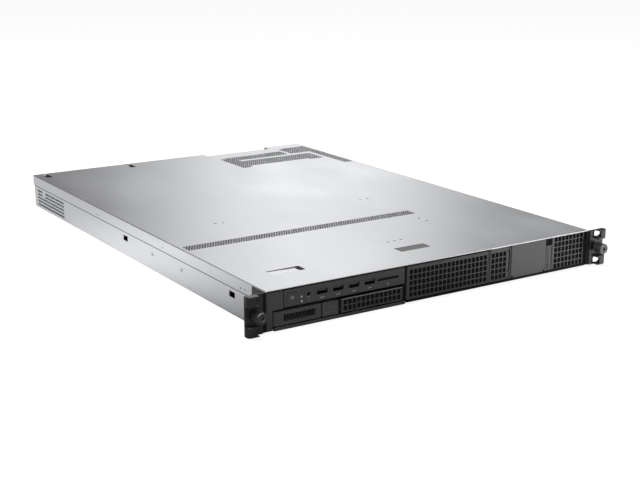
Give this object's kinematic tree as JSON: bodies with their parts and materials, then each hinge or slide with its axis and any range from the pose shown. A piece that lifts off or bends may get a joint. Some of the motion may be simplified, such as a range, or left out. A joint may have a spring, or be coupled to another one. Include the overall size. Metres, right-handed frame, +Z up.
{
  "type": "rack server",
  "caption": "Low flat rack-mount server with a steel case, lift-off cover, vented bezel, hot-plug drive bays, rack ears with thumbscrews and plug-in power supplies.",
  "frame": {"origin": "on the underside, mid-width, in the plane where the rack ears meet the rack posts", "axes": "+X to the right seen from the front, +Y from the front to the back, +Z up"},
  "size_m": [0.4826, 0.6748, 0.0432],
  "materials": {
    "galvanised_steel": "satin galvanised sheet",
    "bezel_plastic": "fine-textured charcoal moulding",
    "panel_plastic": "lighter grey moulding",
    "ear_steel": "black painted steel",
    "black_plastic": "satin black moulding",
    "connector_metal": "bright plated shell",
    "lens": "milky light guide",
    "circuit_board": "solder mask",
    "aluminium_fins": "extruded fins",
    "dark_steel": "plated dark steel",
    "latch_plastic": "touch-point moulding",
    "screw_steel": "zinc plated",
    "drive_metal": "machined case"
  },
  "bodies": {
    "chassis": {"air_baffle": "black_plastic", "badge_panel": "bezel_plastic", "blank_panel": "panel_plastic", "case_screws": "screw_steel", "chassis_pan": "galvanised_steel", "drive_backplane": "circuit_board", "drive_cage": "dark_steel", "ear_bracket_left": "ear_steel", "ear_bracket_right": "ear_steel", "ear_cap_left": "black_plastic", "ear_cap_right": "black_plastic", "expansion_card": "circuit_board", "fan_frame_1": "black_plastic", "fan_frame_2": "black_plastic", "fan_frame_3": "black_plastic", "fan_frame_4": "black_plastic", "fan_frame_5": "black_plastic", "fan_wall": "galvanised_steel", "front_frame": "black_plastic", "front_ports": "dark_steel", "grille_centre": "bezel_plastic", "grille_narrow": "bezel_plastic", "grille_right": "bezel_plastic", "heat_sink_left": "aluminium_fins", "heat_sink_right": "aluminium_fins", "io_board": "circuit_board", "io_panel": "bezel_plastic", "latch_strip": "bezel_plastic", "main_board": "circuit_board", "memory_modules": "circuit_board", "memory_sockets": "black_plastic", "processors": "drive_metal", "psu_divider": "galvanised_steel", "rear_panel": "galvanised_steel", "rear_ports": "connector_metal", "riser_board": "circuit_board", "status_lenses": "lens"},
    "cover": {"top_cover": "galvanised_steel"},
    "release_pad": {"release_pad": "black_plastic"},
    "power_button": {"power_button": "bezel_plastic"},
    "info_tab": {"info_tab": "black_plastic"},
    "drive_carrier": {"drive_carrier": "bezel_plastic", "lever_pin": "screw_steel", "disk_drive": "drive_metal"},
    "carrier_lever": {"carrier_lever": "bezel_plastic"},
    "carrier_button": {"carrier_button": "bezel_plastic"},
    "drive_blank": {"drive_blank": "bezel_plastic"},
    "thumbscrew_left": {"thumbscrew_left": "dark_steel"},
    "thumbscrew_right": {"thumbscrew_right": "dark_steel"},
    "psu_1": {"psu_1_case": "galvanised_steel", "psu_1_inlet": "black_plastic"},
    "psu_1_latch": {"psu_1_latch": "latch_plastic"},
    "psu_2": {"psu_2_case": "galvanised_steel", "psu_2_inlet": "black_plastic"},
    "psu_2_latch": {"psu_2_latch": "latch_plastic"},
    "fan_rotor_1": {"fan_rotor_1": "black_plastic"},
    "fan_rotor_2": {"fan_rotor_2": "black_plastic"},
    "fan_rotor_3": {"fan_rotor_3": "black_plastic"},
    "fan_rotor_4": {"fan_rotor_4": "black_plastic"},
    "fan_rotor_5": {"fan_rotor_5": "black_plastic"}
  },
  "joints": [
    {"name": "cover_lift", "type": "slide", "parent": "chassis", "child": "cover", "axis": [0, 0, 1], "range_m": [0, 0.12]},
    {"name": "release_pad_press", "type": "slide", "parent": "cover", "child": "release_pad", "axis": [0, 0, -1], "range_m": [0, 0.0016], "stiffness_N_per_m": 300, "springref_m": -0.002},
    {"name": "power_button_press", "type": "slide", "parent": "chassis", "child": "power_button", "axis": [0, 1, 0], "range_m": [0, 0.0012], "stiffness_N_per_m": 300, "springref_m": -0.001},
    {"name": "info_tab_pull", "type": "slide", "parent": "chassis", "child": "info_tab", "axis": [0, -1, 0], "range_m": [0, 0.04]},
    {"name": "carrier_slide", "type": "slide", "parent": "chassis", "child": "drive_carrier", "axis": [0, -1, 0], "range_m": [0, 0.11]},
    {"name": "carrier_lever_swing", "type": "hinge", "parent": "drive_carrier", "child": "carrier_lever", "pos_m": [-0.2035, 0.0035, 0.0115], "axis": [0, 0, -1], "range_deg": [0, 50]},
    {"name": "carrier_button_press", "type": "slide", "parent": "drive_carrier", "child": "carrier_button", "axis": [0, 1, 0], "range_m": [0, 0.0015], "stiffness_N_per_m": 300, "springref_m": -0.001},
    {"name": "drive_blank_slide", "type": "slide", "parent": "chassis", "child": "drive_blank", "axis": [0, -1, 0], "range_m": [0, 0.065]},
    {"name": "thumbscrew_left_turn", "type": "hinge", "parent": "chassis", "child": "thumbscrew_left", "pos_m": [-0.2296, -0.008, 0.0216], "axis": [0, 1, 0], "continuous": true},
    {"name": "thumbscrew_right_turn", "type": "hinge", "parent": "chassis", "child": "thumbscrew_right", "pos_m": [0.2296, -0.008, 0.0216], "axis": [0, 1, 0], "continuous": true},
    {"name": "fan_1_spin", "type": "hinge", "parent": "chassis", "child": "fan_rotor_1", "pos_m": [-0.16, 0.22, 0.0212], "axis": [0, 1, 0], "continuous": true},
    {"name": "fan_2_spin", "type": "hinge", "parent": "chassis", "child": "fan_rotor_2", "pos_m": [-0.08, 0.22, 0.0212], "axis": [0, 1, 0], "continuous": true},
    {"name": "fan_3_spin", "type": "hinge", "parent": "chassis", "child": "fan_rotor_3", "pos_m": [0, 0.22, 0.0212], "axis": [0, 1, 0], "continuous": true},
    {"name": "fan_4_spin", "type": "hinge", "parent": "chassis", "child": "fan_rotor_4", "pos_m": [0.08, 0.22, 0.0212], "axis": [0, 1, 0], "continuous": true},
    {"name": "fan_5_spin", "type": "hinge", "parent": "chassis", "child": "fan_rotor_5", "pos_m": [0.16, 0.22, 0.0212], "axis": [0, 1, 0], "continuous": true},
    {"name": "psu_1_slide", "type": "slide", "parent": "chassis", "child": "psu_1", "axis": [0, 1, 0], "range_m": [0, 0.19]},
    {"name": "psu_1_latch_press", "type": "hinge", "parent": "psu_1", "child": "psu_1_latch", "pos_m": [-0.1432, 0.61, 0.0209], "axis": [0, 0, 1], "range_deg": [0, 3.5], "stiffness_Nm_per_rad": 0.4, "springref_deg": -2.86},
    {"name": "psu_2_slide", "type": "slide", "parent": "chassis", "child": "psu_2", "axis": [0, 1, 0], "range_m": [0, 0.19]},
    {"name": "psu_2_latch_press", "type": "hinge", "parent": "psu_2", "child": "psu_2_latch", "pos_m": [-0.0694, 0.61, 0.0209], "axis": [0, 0, 1], "range_deg": [0, 3.5], "stiffness_Nm_per_rad": 0.4, "springref_deg": -2.86}
  ]
}
